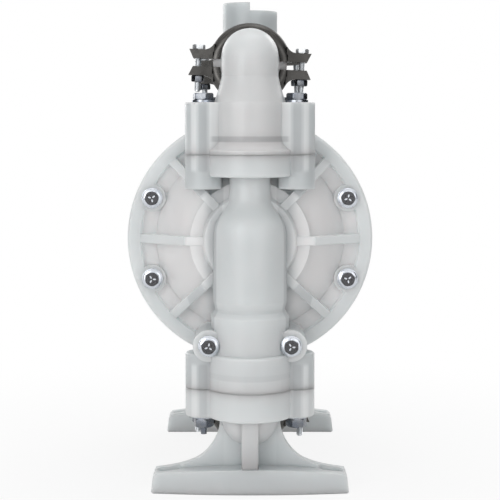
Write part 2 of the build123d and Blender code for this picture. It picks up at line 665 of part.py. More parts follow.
def shaft():
    """Ground shaft with a threaded stud at each end for the diaphragm stack."""
    stack = RIM_BACK + PLATE_STACK
    half = about_shaft((0, 0), (SHAFT_R, 0), (SHAFT_R, PLATE_BACK), (STUD_R, PLATE_BACK),
                       (STUD_R, stack + 5.5), (STUD_R - 0.8, stack + 6.3), (0, stack + 6.3))
    return half + rear(half)


def inner_plate():
    face = RIM_BACK - DIAPHRAGM_THICKNESS
    return about_shaft((STUD_R + 0.05, PLATE_BACK), (32, PLATE_BACK), (PLATE_R, face - 2), (PLATE_R, face - 0.8),
                       (PLATE_R - 0.8, face), (STUD_R + 0.05, face))


def outer_plate():
    top = RIM_BACK + PLATE_STACK
    return about_shaft((STUD_R + 0.05, RIM_BACK), (PLATE_R - 0.8, RIM_BACK), (PLATE_R, RIM_BACK + 0.8),
                       (PLATE_R, RIM_BACK + 2), (36, RIM_BACK + 5), (15, top), (STUD_R + 0.05, top))


def stack_nut():
    start = RIM_BACK + PLATE_STACK
    plane = Plane(origin=(0, -start, SHAFT_Z), x_dir=(1, 0, 0), z_dir=(0, -1, 0))
    nut = hexagon_along(plane, 9.2, 5.0)
    return nut - along_y(0, SHAFT_Z, STUD_R + 0.05, start - 1, start + 8)


def shaft_bushing():
    outer = along_y(0, SHAFT_Z, SHAFT_R + 3.98, 14, CENTER_HALF - 0.5)
    return outer - along_y(0, SHAFT_Z, SHAFT_R + RUNNING_GAP, 13, CENTER_HALF)


def shaft_seal():
    """A lip seal in the neck of the inner chamber."""
    return about_shaft((SHAFT_R + RUNNING_GAP, 31), (SHAFT_R + 3.98, 31), (SHAFT_R + 3.98, 36),
                       (SHAFT_R + 2.6, 36), (SHAFT_R + 2.2, 33.5), (SHAFT_R + 1.4, 33.5),
                       (SHAFT_R + 1.0, 36), (SHAFT_R + RUNNING_GAP, 36))


def pilot_sleeve():
    outer = along_y(0, SHAFT_Z - PILOT_DROP, PILOT_R + 2.98, -INNER_FLOOR, INNER_FLOOR)
    return outer - along_y(0, SHAFT_Z - PILOT_DROP, PILOT_R + RUNNING_GAP, -INNER_FLOOR - 1, INNER_FLOOR + 1)


def pilot_spool():
    """Rod that the diaphragm plates push at the end of each stroke, with three waists."""
    z = SHAFT_Z - PILOT_DROP
    rod = along_y(0, z, PILOT_R, -PILOT_HALF, PILOT_HALF)
    for middle in (-16, 0, 16):
        neck = along_y(0, z, PILOT_R - 1.2, middle - 4, middle + 4)
        rod -= along_y(0, z, PILOT_R + 1, middle - 4, middle + 4) - neck
    return rod


def inner_screws():
    screws = []
    for x, z in inner_screw_places():
        head = along_y(x, z, SCREW_HEAD_R, SCREW_SEAT, SCREW_SEAT + 6)
        plane = Plane(origin=(x, -SCREW_SEAT - 3, z), x_dir=(1, 0, 0), z_dir=(0, -1, 0))
        head -= extrude(plane * RegularPolygon(2.9, 6), 4)
        screws.append(head + along_y(x, z, M6_R, 12, SCREW_SEAT))
    return group(screws)


# Air valve

def valve_bolt_places():
    return [(y, SHAFT_Z + z) for y in (-18, 18) for z in (-27, 27)]


def valve_gasket():
    gasket = Pos((CENTER_HALF_X + VALVE_FACE) / 2, 0, SHAFT_Z) * Box(
        VALVE_FACE - CENTER_HALF_X, 2 * VALVE_HALF_WIDTH - 2, 2 * VALVE_HALF_HEIGHT - 2)
    gasket -= along_x(CENTER_HALF_X - 1, VALVE_FACE + 1, 0, SHAFT_Z, PORT_SIDE_R)
    for y, z in valve_bolt_places():
        gasket -= along_x(CENTER_HALF_X - 1, VALVE_FACE + 1, y, z, M5_R + 0.3)
    return gasket


def valve_body():
    depth = VALVE_END - VALVE_FACE
    block = Box(depth, 2 * VALVE_HALF_WIDTH, 2 * VALVE_HALF_HEIGHT)
    block = fillet(block.faces().sort_by(Axis.X)[-1].edges().filter_by(Axis.Z), 8)
    body = Pos(VALVE_FACE + depth / 2, 0, SHAFT_Z) * block
    body -= upright(SPOOL_X, 0, SLEEVE_R, SHAFT_Z - VALVE_HALF_HEIGHT - 1, SHAFT_Z + VALVE_HALF_HEIGHT + 1)
    body -= along_x(VALVE_FACE - 1, SPOOL_X, 0, SHAFT_Z, PORT_SIDE_R)
    body -= along_x(SPOOL_X, VALVE_END + 1, 0, SHAFT_Z, PORT_SIDE_R)
    body -= along_x(VALVE_END - 4.5, VALVE_END + 1, 0, SHAFT_Z, 8.0)
    for y, z in valve_bolt_places():
        body -= along_x(VALVE_FACE - 1, VALVE_END + 1, y, z, M5_R + 0.3)
    return body


def valve_sleeve():
    low = SHAFT_Z - VALVE_HALF_HEIGHT
    high = SHAFT_Z + VALVE_HALF_HEIGHT
    sleeve = upright(SPOOL_X, 0, SLEEVE_R - 0.02, low, high)
    sleeve -= upright(SPOOL_X, 0, SPOOL_R + RUNNING_GAP, low - 1, high + 1)
    for z in (-17, 0, 17):
        sleeve -= along_x(SPOOL_X - 20, SPOOL_X + 20, 0, SHAFT_Z + z, 2.5)
    return sleeve


def valve_spool():
    spool = upright(SPOOL_X, 0, SPOOL_R, SHAFT_Z - SPOOL_HALF, SHAFT_Z + SPOOL_HALF)
    for middle in (-11, 11):
        low = SHAFT_Z + middle - 5
        spool -= upright(SPOOL_X, 0, SPOOL_R + 1, low, low + 10) - upright(SPOOL_X, 0, 4, low, low + 10)
    return spool


def valve_caps():
    caps = []
    for side in (-1, 1):
        plate = Box(2 * 14, 2 * 15, VALVE_CAP)
        plate = fillet(plate.edges().filter_by(Axis.Z), 5)
        caps.append(Pos(SPOOL_X, 0, SHAFT_Z + side * (VALVE_HALF_HEIGHT + VALVE_CAP / 2)) * plate)
    return group(caps)


def valve_bolts():
    bolts = []
    for y, z in valve_bolt_places():
        plane = Plane(origin=(VALVE_END, y, z), x_dir=(0, 1, 0), z_dir=(1, 0, 0))
        bolts.append(hexagon_along(plane, 4.6, 3.5) + along_x(CENTER_HALF_X - 12, VALVE_END, y, z, M5_R))
    return group(bolts)


def air_inlet_fitting():
    plane = Plane(origin=(VALVE_END, 0, SHAFT_Z), x_dir=(0, 1, 0), z_dir=(1, 0, 0))
    body = hexagon_along(plane, 10.5, 13.0)
    body += along_x(VALVE_END - 4.5, VALVE_END, 0, SHAFT_Z, 7.98)
    body -= along_x(VALVE_END - 5, VALVE_END + 14, 0, SHAFT_Z, PORT_SIDE_R)
    return body - along_x(VALVE_END + 13 - AIR_DEPTH, VALVE_END + 14, 0, SHAFT_Z, AIR_THREAD_R)


def muffler():
    """Exhaust muffler: a threaded neck and a grooved barrel with a domed end."""
    start = CENTER_HALF_X
    outline = [(0, start - 11), (MUFFLER_NECK_R - 0.02, start - 11), (MUFFLER_NECK_R - 0.02, start)]
    outline += [(MUFFLER_R - 1, start), (MUFFLER_R, start + 1)]
    for groove in range(4):
        z = start + 6 + 7 * groove
        outline += [(MUFFLER_R, z), (MUFFLER_R - 2, z + 1), (MUFFLER_R - 2, z + 3), (MUFFLER_R, z + 4)]
    outline += [(MUFFLER_R, MUFFLER_END - 4), (MUFFLER_R - 4, MUFFLER_END), (0, MUFFLER_END)]
    plane = Plane(origin=(0, 0, SHAFT_Z + MUFFLER_RISE), x_dir=(0, 1, 0), z_dir=(0, 0, 1))
    return turned(plane, Axis((0, 0, SHAFT_Z + MUFFLER_RISE), (1, 0, 0)), Polyline(*outline, close=True))


# Fasteners on the liquid side

def chamber_bolts():
    bolts = []
    for x, z, face in rim_bolt_places():
        plane = Plane(origin=(x, -face, z), x_dir=(1, 0, 0), z_dir=(0, -1, 0))
        shank = along_y(x, z, M6_R, INNER_RIM_BACK - 8, face)
        flange = extrude(plane * Circle(M6_FLANGE_R), 1.5)
        bolts.append(shank + flange + hexagon_along(plane, M6_CORNER_R, 5.2))
    return group(bolts)


def chamber_nuts():
    nuts = []
    for x, z, face in rim_bolt_places():
        plane = Plane(origin=(x, 5 - INNER_RIM_BACK, z), x_dir=(1, 0, 0), z_dir=(0, -1, 0))
        nuts.append(hexagon_along(plane, 5.7, 5.0) - along_y(x, z, M6_R + 0.03, 30, 60))
    return group(nuts)


def elbow_bolts():
    bolts = []
    for side in (-1, 1):
        seat = ELBOW_BOSS_TOP + WASHER_THICKNESS
        head = hexagon_along(Plane((side * JOINT_BOLT_X, -COLUMN_Y, seat)), M8_HEAD_R, M8_HEAD_HEIGHT)
        bolts.append(head + upright(side * JOINT_BOLT_X, -COLUMN_Y, M6_R, ELBOW_BOLT_END, seat))
    return group(bolts)


def washers(bottom, radius):
    return group([upright(side * JOINT_BOLT_X, -COLUMN_Y, radius, bottom, bottom + WASHER_THICKNESS)
                  - upright(side * JOINT_BOLT_X, -COLUMN_Y, M6_R + 0.2, bottom - 1, bottom + 3)
                  for side in (-1, 1)])


def foot_studs():
    studs = []
    for side in (-1, 1):
        x = side * JOINT_BOLT_X
        tip = upright(x, -COLUMN_Y, STUD_TIP_R, FOOT_NUT_BOTTOM - STUD_ENDS[side], FOOT_NUT_BOTTOM)
        studs.append(tip + upright(x, -COLUMN_Y, M6_R, FOOT_NUT_BOTTOM, STUD_TOP))
    return group(studs)


def foot_nuts():
    nuts = []
    for side in (-1, 1):
        nut = hexagon_along(Plane((side * JOINT_BOLT_X, -COLUMN_Y, FOOT_NUT_BOTTOM)), M8_HEAD_R, FOOT_NUT_HEIGHT)
        nuts.append(nut - upright(side * JOINT_BOLT_X, -COLUMN_Y, M6_R + 0.03, 0, LOWER_SEAM_Z))
    return group(nuts)


os.makedirs("parts", exist_ok=True)

for end, place in (("front", lambda shape: shape), ("rear", rear)):
    write(f"foot_elbow_{end}", place(foot_elbow()))
    write(f"outer_chamber_{end}", place(outer_chamber()))
    write(f"outlet_elbow_{end}", place(outlet_elbow()))
    write(f"inner_chamber_{end}", place(inner_chamber()))
    write(f"diaphragm_{end}", place(diaphragm()))
    write(f"inner_plate_{end}", place(inner_plate()))
    write(f"outer_plate_{end}", place(outer_plate()))
    write(f"chamber_bolts_{end}", place(chamber_bolts()))
    write(f"chamber_nuts_{end}", place(chamber_nuts()))
    write(f"inner_screws_{end}", place(inner_screws()))
    for valve, seam in (("inlet", LOWER_SEAM_Z), ("outlet", UPPER_SEAM_Z)):
        write(f"{valve}_ball_{end}", place(ball(seam)))
        write(f"{valve}_seat_{end}", place(valve_seat(seam)))
    for valve, pipe in (("inlet", INLET_PIPE), ("outlet", OUTLET_PIPE)):
        write(f"{valve}_clamp_{end}", place(clamp(pipe)))

write("seat_rings", both_ends(group([seat_ring(LOWER_SEAM_Z), seat_ring(UPPER_SEAM_Z)])))
write("manifold_seals", both_ends(group([manifold_seal(INLET_PIPE), manifold_seal(OUTLET_PIPE)])))
write("clamp_bolts", both_ends(group([clamp_bolts(INLET_PIPE), clamp_bolts(OUTLET_PIPE)])))
write("clamp_nuts", both_ends(group([clamp_nuts(INLET_PIPE), clamp_nuts(OUTLET_PIPE)])))
write("elbow_bolts", both_ends(elbow_bolts()))
write("elbow_washers", both_ends(washers(ELBOW_BOSS_TOP, ELBOW_WASHER_R)))
write("foot_studs", both_ends(foot_studs()))
write("foot_nuts", both_ends(foot_nuts()))
write("foot_washers", both_ends(washers(FOOT_JOINT_BOTTOM - WASHER_THICKNESS, FOOT_WASHER_R)))
write("outlet_manifold", manifold(OUTLET_PIPE))
write("inlet_manifold", manifold(INLET_PIPE).rotate(Axis((0, 0, INLET_Z), (0, 1, 0)), 90))
write("shaft", shaft())
write("stack_nuts", both_ends(stack_nut()))
write("shaft_bushings", both_ends(shaft_bushing()))
write("shaft_seals", both_ends(shaft_seal()))
write("center_body", center_body())
write("pilot_sleeve", pilot_sleeve())
write("pilot_spool", pilot_spool())
write("valve_gasket", valve_gasket())
write("valve_body", valve_body())
write("valve_sleeve", valve_sleeve())
write("valve_spool", valve_spool())
write("valve_caps", valve_caps())
write("valve_bolts", valve_bolts())
write("air_inlet_fitting", air_inlet_fitting())
write("muffler", muffler())
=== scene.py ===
"""Studio finish for an air operated double diaphragm pump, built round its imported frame."""
import json
import math

import bpy
from bpy.props import FloatProperty, FloatVectorProperty, PointerProperty
from mathutils import Matrix, Vector


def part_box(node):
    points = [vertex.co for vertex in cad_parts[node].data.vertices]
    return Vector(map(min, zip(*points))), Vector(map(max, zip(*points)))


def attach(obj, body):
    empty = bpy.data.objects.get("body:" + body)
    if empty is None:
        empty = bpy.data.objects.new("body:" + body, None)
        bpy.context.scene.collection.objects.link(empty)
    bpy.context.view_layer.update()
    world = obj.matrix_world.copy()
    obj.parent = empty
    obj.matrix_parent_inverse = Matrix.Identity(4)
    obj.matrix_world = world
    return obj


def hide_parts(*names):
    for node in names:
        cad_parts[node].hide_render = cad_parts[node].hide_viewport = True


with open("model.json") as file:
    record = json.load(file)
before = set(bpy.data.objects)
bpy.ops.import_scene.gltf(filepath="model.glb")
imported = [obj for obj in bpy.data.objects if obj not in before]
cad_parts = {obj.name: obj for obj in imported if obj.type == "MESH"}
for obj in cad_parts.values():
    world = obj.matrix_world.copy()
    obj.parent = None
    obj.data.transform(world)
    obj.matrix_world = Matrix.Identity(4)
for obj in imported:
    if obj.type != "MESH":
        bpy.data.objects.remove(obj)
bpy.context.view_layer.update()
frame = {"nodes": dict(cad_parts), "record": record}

bl_info = {
    "name": "Diaphragm Pump Finish",
    "version": (1, 0, 0),
    "blender": (4, 5, 0),
    "location": "View3D > Sidebar > Pump",
    "description": "Finishes, fasteners and studio for a double diaphragm pump",
    "category": "Object",
}

MM = 0.001

# Places read from the frame's nodes
SHAFT_Z = sum(corner.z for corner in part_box("shaft")) / 2
COLUMN_Y = -sum(corner.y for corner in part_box("outlet_ball_front")) / 2
LOWER_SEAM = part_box("inlet_seat_front")[0].z
UPPER_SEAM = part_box("outlet_seat_front")[0].z

# Sizes of the joints, the rims and the clamps
JOINT_BOLT_X = 32 * MM
JOINT_BOSS_R = 12.5 * MM
COLUMN_BODY_R = 27.5 * MM
RIM_FACE = 70 * MM
RIM_BOLT_R = 74.2 * MM
RIM_BOLT_ANGLE = math.radians(22.5)
LUG_X = 28 * MM
LUG_RISE = 70.4 * MM
LUG_FACE = 105 * MM
CLAMP_TILT = math.radians(2.4)
CLAMP_BOLT_X = 36.5 * MM
CLAMP_BAND_R = 29.1 * MM
CLAMP_EAR_FACE = 9.1 * MM
CLAMP_ROOT_R = 8 * MM
CLAMP_ROOT_HALF = 6.4 * MM

# What shows through the plastic, as heights over a seam
SEAL_RISE = 10.6 * MM
SEAT_RISE = 4.3 * MM
LOWER_SHANK = (-20 * MM, 17 * MM)
UPPER_SHANK = (-11 * MM, 36 * MM)

# How much darker or lighter each of them makes the plastic, and how strong the painted shade and painted
# light are on the bosses, beside the shanks, on the feet and in the chambers
SEAL_SHADE = 0.75
SHANK_SHADE = 0.55
LOWER_BOSS_PAINTED_SHADE = 0.12
UPPER_BOSS_PAINTED_SHADE = 0.36
PAINTED_FOOT_SHADE = 0.42
PAINTED_CHAMBER_SHADE = 0.16
SEAT_LIGHT = 0.35
PAINTED_SHANK_HIGHLIGHT = 0.3
PAINTED_POCKET_LIGHT = 0.85
BRIGHTEST = 1.28

# The walls of a chamber, as radii round the shaft and distances from the middle
HUB_R = 24 * MM
DOME_R = 66 * MM
POCKET_R = 75.5 * MM
POCKET_FLOOR = 65.5 * MM
DOME_SLOPE = 0.9

# Foot ribs
FOOT_RIB_HALF = 5.75 * MM
FOOT_RIB_FRONT = 111.5 * MM
FOOT_RIB_BACK = 103 * MM
FOOT_RIB_BOTTOM = 16 * MM
FOOT_RIB_TOP = 52.4 * MM
FOOT_RIB_LEAN = 6.2 * MM

# Heads of the flange bolts, as radii and heights over their seat
FLANGE_R = 7.2 * MM
FLANGE_TOP = 1.0 * MM
SLOPE_TOP = 1.9 * MM
HEAD_FOOT = 1.4 * MM
HEAD_TOP = 5.2 * MM
DISH_R = 3.4 * MM
DISH_FLOOR = 4.75 * MM
MARK_R = 0.55 * MM
MARK_OUT = 1.7 * MM
MARK_FOOT = 4.6 * MM
MARK_TOP = 5.05 * MM
CAP_R = 4.6 * MM
CAP_FOOT = 4.2 * MM

# Corner radii of the hexagons, radii of the threads and heights of the clamps' heads and nuts
M5_CORNER_R = 4.7 * MM
M6_CORNER_R = 5.5 * MM
NUT_CORNER_R = 7.3 * MM
ELBOW_CORNER_R = 7.4 * MM
M5_THREAD_R = 2.4 * MM
M6_THREAD_R = 3 * MM
M5_HEAD = 3.5 * MM
M5_NUT = 4.6 * MM
M5_ROD_BELOW_EAR = 11.6 * MM
ELBOW_DISH_R = 5.0 * MM
ELBOW_DISH_DEPTH = 0.45 * MM

# Studio lamps: name, place, diameter and power
AIM = (0, 0, 0.17)
LAMPS = (
    ("key_light", (-0.85, -1.35, 0.45), 1.1, 8.2),
    ("fill_light", (0.65, -1.4, 0.35), 1.0, 2.8),
    ("top_light", (0.1, -0.1, 1.5), 1.0, 4),
    ("rear_light", (0.9, 0.9, 0.9), 0.8, 4),
    ("rear_fill_light", (-0.9, 1.0, 0.5), 0.8, 4),
)
FLOOR_SIZE = 40
FLOOR_WHITE = 0.85
WORLD_LIGHT = 0.46
CARD_X = 1.5
CARD_MIDDLE = (0.9, 0.5)
CARD_SIZE = (1.4, 4.2)


# Node helpers

class Value:
    """A number socket that is used in plain arithmetic; every operation adds a Math node."""

    def __init__(self, tree, socket):
        self.tree = tree
        self.socket = socket

    def _math(self, operation, *values):
        node = self.tree.nodes.new("ShaderNodeMath")
        node.operation = operation
        for slot, value in zip(node.inputs, values):
            if isinstance(value, Value):
                self.tree.links.new(value.socket, slot)
            else:
                slot.default_value = value
        return Value(self.tree, node.outputs[0])

    def __add__(self, other):
        return self._math("ADD", self, other)

    __radd__ = __add__

    def __sub__(self, other):
        return self._math("SUBTRACT", self, other)

    def __rsub__(self, other):
        return self._math("SUBTRACT", other, self)

    def __mul__(self, other):
        return self._math("MULTIPLY", self, other)

    def __abs__(self):
        return self._math("ABSOLUTE", self)

    def sqrt(self):
        return self._math("SQRT", self)

    def at_least(self, other):
        return self._math("MAXIMUM", self, other)

    def at_most(self, other):
        return self._math("MINIMUM", self, other)


class Finish:
    """A material, its Principled shader and the nodes that feed it."""

    def __init__(self, name):
        self.material = bpy.data.materials.new(name)
        self.material.use_nodes = True
        self.tree = self.material.node_tree
        self.shader = self.tree.nodes["Principled BSDF"]
        self.coords = self.node("ShaderNodeTexCoord")["Object"]
        split = self.node("ShaderNodeSeparateXYZ", {"Vector": self.coords})
        self.x = self.value(split["X"])
        self.y = self.value(split["Y"])
        self.z = self.value(split["Z"])

    def node(self, kind, inputs=None, **settings):
        """Adds a node of any kind and gives its outputs."""
        node = self.tree.nodes.new(kind)
        for name, setting in settings.items():
            setattr(node, name, setting)
        for name, value in (inputs or {}).items():
            self.feed(node.inputs[name], value)
        return node.outputs

    def feed(self, socket, value):
        if isinstance(value, Value):
            value = value.socket
        if isinstance(value, bpy.types.NodeSocket):
            self.tree.links.new(value, socket)
        else:
            socket.default_value = value

    def value(self, socket):
        return Value(self.tree, socket)

    def ramp(self, value, low, high, start=0.0, end=1.0):
        """A smooth step of value from start at low to end at high."""
        outputs = self.node("ShaderNodeMapRange", {
            "Value": value, "From Min": low, "From Max": high, "To Min": start, "To Max": end,
        }, interpolation_type="SMOOTHSTEP")
        return self.value(outputs["Result"])

    def noise(self, size, detail=3.0, stretch=None):
        """Noise of about the given size in metres, between 0 and 1."""
        vector = self.coords
        if stretch:
            vector = self.node("ShaderNodeMapping", {"Vector": vector, "Scale": stretch})["Vector"]
        outputs = self.node("ShaderNodeTexNoise", {"Vector": vector, "Scale": 1 / size, "Detail": detail})
        return self.value(outputs["Fac"])

    def mix(self, factor, first, second):
        """A colour between two colours."""
        node = self.tree.nodes.new("ShaderNodeMix")
        node.data_type = "RGBA"
        self.feed(node.inputs[0], factor)
        self.feed(node.inputs[6], first if not isinstance(first, tuple) else (*first, 1))
        self.feed(node.inputs[7], second if not isinstance(second, tuple) else (*second, 1))
        return node.outputs[2]

    def bump(self, height, distance, strength=1.0, edge=0.0):
        """A bump, over edges that look rounded to the given radius."""
        normal = self.node("ShaderNodeBump", {"Height": height, "Distance": distance, "Strength": strength})
        if edge:
            rounded = self.node("ShaderNodeBevel", {"Radius": edge}, samples=4)["Normal"]
            self.feed(normal["Normal"].node.inputs["Normal"], rounded)
        self.feed(self.shader.inputs["Normal"], normal["Normal"])

    def set(self, **values):
        """Sets the shader's sockets; an underscore stands for a space."""
        for name, value in values.items():
            if isinstance(value, tuple) and len(value) == 3 and name == "Base_Color":
                value = (*value, 1)
            self.feed(self.shader.inputs[name.replace("_", " ")], value)
        return self.material


# Sizes and colours that a user would change

class PumpFinishSettings(bpy.types.PropertyGroup):
    plastic: FloatVectorProperty(
        name="Plastic", description="Colour of the natural polypropylene", subtype="COLOR",
        default=(0.71, 0.735, 0.74), min=0, max=1)
    # plastic_shade is also the colour that the painted shade on the bosses, the feet, the manifold and the
    # chambers darkens towards
    plastic_shade: FloatVectorProperty(
        name="Plastic shade", description="Colour where something dark lies behind it", subtype="COLOR",
        default=(0.47, 0.49, 0.50), min=0, max=1)
    clamp_steel: FloatVectorProperty(
        name="Clamp steel", description="Colour of the stainless clamps", subtype="COLOR",
        default=(0.095, 0.092, 0.088), min=0, max=1)
    zinc: FloatVectorProperty(
        name="Zinc", description="Colour of the plated fasteners", subtype="COLOR",
        default=(0.34, 0.355, 0.38), min=0, max=1)
    grey_plastic: FloatVectorProperty(
        name="Grey plastic", description="Colour of the centre body and muffler", subtype="COLOR",
        default=(0.055, 0.058, 0.062), min=0, max=1)


class PumpStageSettings(bpy.types.PropertyGroup):
    distance: FloatProperty(
        name="Camera distance", description="From the camera to the pump's middle",
        default=1.016, unit="LENGTH")
    height: FloatProperty(
        name="Camera height", description="From the floor to the camera", default=0.2556, unit="LENGTH")
    lens: FloatProperty(name="Lens", description="Focal length in millimetres", default=97.33)
    pitch: FloatProperty(
        name="Pitch", description="How far the camera looks down", default=math.radians(2.973),
        subtype="ANGLE")
    shift: FloatProperty(name="Shift", description="Vertical lens shift", default=-0.12)


# Finishes

def joint_shades(finish, seam):
    """Gives how dark and how light the seal, the seat and the bolt shanks of one joint make the plastic, with
    painted shade on the bosses and painted highlights beside the shanks.
    """
    column = abs(finish.y) - COLUMN_Y
    from_column = (finish.x * finish.x + column * column).sqrt()
    near_column = finish.ramp(from_column, COLUMN_BODY_R, COLUMN_BODY_R + 3.5 * MM, 1.0, 0.0)
    ring = finish.ramp(abs(finish.z - (seam + SEAL_RISE)), 1.2 * MM, 2.6 * MM, 1.0, 0.0)
    seat = finish.ramp(abs(finish.z - (seam + SEAT_RISE)), 3.6 * MM, 4.6 * MM, 1.0, 0.0)
    inside = finish.ramp(abs(finish.x), 20 * MM, 22 * MM, 1.0, 0.0)
    # the bolt shanks in the bosses at both sides of the joint
    across = abs(finish.x) - JOINT_BOLT_X
    reach = (across * across + column * column).sqrt()
    in_boss = finish.ramp(reach, JOINT_BOSS_R + 0.7 * MM, JOINT_BOSS_R + 2 * MM, 1.0, 0.0)
    front = finish.ramp(abs(across), 1.6 * MM, 3.8 * MM, 1.0, 0.0)
    side = finish.ramp(abs(column), 1.6 * MM, 3.8 * MM, 1.0, 0.0)
    # painted highlights: pale stripes at both sides of each shank, where the bosses' round fronts catch the
    # light
    painted_shank_highlight = finish.ramp(abs(abs(across) - 6.2 * MM), 0.8 * MM, 2.6 * MM, 1.0, 0.0)
    low, high = LOWER_SHANK if seam == LOWER_SEAM else UPPER_SHANK
    along = finish.ramp(finish.z, seam + low - 2 * MM, seam + low + 2 * MM)
    along = along * finish.ramp(finish.z, seam + high - 2 * MM, seam + high + 2 * MM, 1.0, 0.0)
    # painted shade over each whole boss, deeper on the upper bosses
    painted_boss_shade = UPPER_BOSS_PAINTED_SHADE if seam == UPPER_SEAM else LOWER_BOSS_PAINTED_SHADE
    shade = ring * near_column * SEAL_SHADE + front.at_least(side) * in_boss * along * SHANK_SHADE
    shade = shade + in_boss * painted_boss_shade
    light = seat * inside * near_column * SEAT_LIGHT + painted_shank_highlight * in_boss * along * PAINTED_SHANK_HIGHLIGHT
    return shade, light


def painted_pocket_light(finish):
    """Gives where painted light makes a chamber's walls between its ribs paler than the ribs, the rim and the
    hub: it stands in for light through the thin walls and lifts the shade that falls in the pockets.
    """
    column = abs(finish.y) - COLUMN_Y
    from_column = (finish.x * finish.x + column * column).sqrt()
    up = finish.z - SHAFT_Z
    radius = (finish.x * finish.x + up * up).sqrt()
    ring = finish.ramp(radius, HUB_R, HUB_R + 6 * MM)
    ring = ring * finish.ramp(radius, POCKET_R, POCKET_R + 1.5 * MM, 1.0, 0.0)
    dome = POCKET_FLOOR + ((DOME_R - radius) * DOME_SLOPE).at_least(0.0)
    above = abs(finish.y) - dome + finish.ramp(radius, DOME_R - 2 * MM, DOME_R + MM, 0.0, 3.5 * MM)
    hollow = finish.ramp(above, 5 * MM, 8 * MM, 1.0, 0.0)
    return ring * hollow * finish.ramp(from_column, 26 * MM, 38 * MM)


def polypropylene(settings, name="polypropylene", tone=0.0, chamber=False, foot=False, seams=()):
    """Milky moulded plastic; what lies behind its walls shows as a soft shade, and painted shade and painted
    light are laid over the bosses, the feet, the manifold and the chambers.
    """
    finish = Finish(name)
    grain = finish.noise(0.0012, 2)
    # cloudy tone at random; tone itself is painted shade, given only to the manifold
    shade = finish.ramp(finish.noise(0.05, 2), 0.35, 0.65, tone, tone + 0.12)
    light = 0.0
    if foot:
        # painted shade, darker towards the bottom of each foot, where less light falls
        shade = shade + finish.ramp(finish.z, 20 * MM, 52 * MM, PAINTED_FOOT_SHADE, 0.0)
    for seam in seams:
        joint_shade, joint_light = joint_shades(finish, seam)
        shade = shade + joint_shade
        light = light + joint_light
    if chamber:
        # painted shade on the chamber's ribs, rim, hub and column, and painted light in its pockets
        pocket_light = painted_pocket_light(finish)
        shade = shade + PAINTED_CHAMBER_SHADE - pocket_light * PAINTED_CHAMBER_SHADE
        light = light + pocket_light * PAINTED_POCKET_LIGHT
    if seams:
        shade = (shade - light).at_least(0.0)
    colour = finish.mix(shade.at_most(1.0), tuple(settings.plastic), tuple(settings.plastic_shade))
    if seams:
        # the pale colour that the seats behind the walls and the painted light lift the plastic towards
        bright = tuple(min(1.0, channel * BRIGHTEST) for channel in settings.plastic)
        colour = finish.mix(light.at_most(1.0), colour, bright)
    finish.bump(grain, 0.00006, 0.5, edge=0.9 * MM)
    return finish.set(
        Base_Color=colour, Roughness=finish.ramp(grain, 0.3, 0.7, 0.30, 0.40), IOR=1.49,
        Subsurface_Weight=0.9, Subsurface_Radius=(0.9, 1.0, 1.0), Subsurface_Scale=0.02,
        Specular_IOR_Level=0.5)


def satin_steel(name, colour, roughness, size=0.004):
    """Rolled stainless sheet: fine drawn streaks and a few cloudy stains."""
    finish = Finish(name)
    streak = finish.noise(size, 4, stretch=(1.0, 12.0, 1.0))
    stain = finish.noise(0.018, 3)
    tone = finish.ramp(stain, 0.3, 0.7)
    dark = tuple(channel * 0.62 for channel in colour)
    finish.bump(streak, 0.00008, 0.35)
    return finish.set(
        Base_Color=finish.mix(tone, tuple(colour), dark), Metallic=1.0,
        Roughness=finish.ramp(streak, 0.3, 0.7, roughness - 0.08, roughness + 0.12))


def plated_steel(settings, name="zinc_plated", tone=1.0):
    """Zinc plate over steel; a lower tone gives a darker plate."""
    finish = Finish(name)
    crystal = finish.noise(0.0015, 3)
    finish.bump(crystal, 0.00003, 0.3)
    pale = tuple(channel * tone for channel in settings.zinc)
    blue = (pale[0] * 0.80, pale[1] * 0.84, pale[2] * 0.92)
    return finish.set(
        Base_Color=finish.mix(finish.ramp(finish.noise(0.006), 0.35, 0.65), pale, blue), Metallic=1.0,
        Roughness=finish.ramp(crystal, 0.3, 0.7, 0.20, 0.34))


def capped_steel(settings, name="rim_bolt_zinc"):
    """Plated flange bolts whose dished caps carry a painted dark reflection, with pale marks left out of it
    in their dishes.
    """
    finish = Finish(name)
    crystal = finish.noise(0.0015, 3)
    finish.bump(crystal, 0.00003, 0.3)
    across = abs(finish.x)
    up = abs(finish.z - SHAFT_Z)
    reach = None
    for x, rise in ((RIM_BOLT_R * math.cos(RIM_BOLT_ANGLE), RIM_BOLT_R * math.sin(RIM_BOLT_ANGLE)),
                    (LUG_X, LUG_RISE)):
        away = ((across - x) * (across - x) + (up - rise) * (up - rise)).sqrt()
        reach = away if reach is None else reach.at_most(away)
    out = abs(finish.y)
    lug = finish.ramp(out, (LUG_FACE + RIM_FACE) / 2 - MM, (LUG_FACE + RIM_FACE) / 2)
    height = out - RIM_FACE - lug * (LUG_FACE - RIM_FACE)
    # painted dark reflection over each head's dished cap, where the dark surroundings would show
    painted_cap_reflection = finish.ramp(reach, CAP_R, CAP_R + 0.5 * MM, 1.0, 0.0)
    painted_cap_reflection = painted_cap_reflection * finish.ramp(height, CAP_FOOT, CAP_FOOT + 0.3 * MM)
    mark = finish.ramp(reach, DISH_R - 0.4 * MM, DISH_R - 0.1 * MM, 1.0, 0.0)
    mark = mark * finish.ramp(height, MARK_TOP - 0.2 * MM, MARK_TOP - 0.1 * MM)
    dark = (painted_cap_reflection - mark).at_least(0.0)
    pale = tuple(channel * 1.8 for channel in settings.zinc)
    return finish.set(
        Base_Color=finish.mix(dark, pale, (0.07, 0.07, 0.075)),
        Metallic=finish.ramp(dark, 0.0, 1.0, 1.0, 0.4),
        Roughness=finish.ramp(crystal, 0.3, 0.7, 0.24, 0.38))


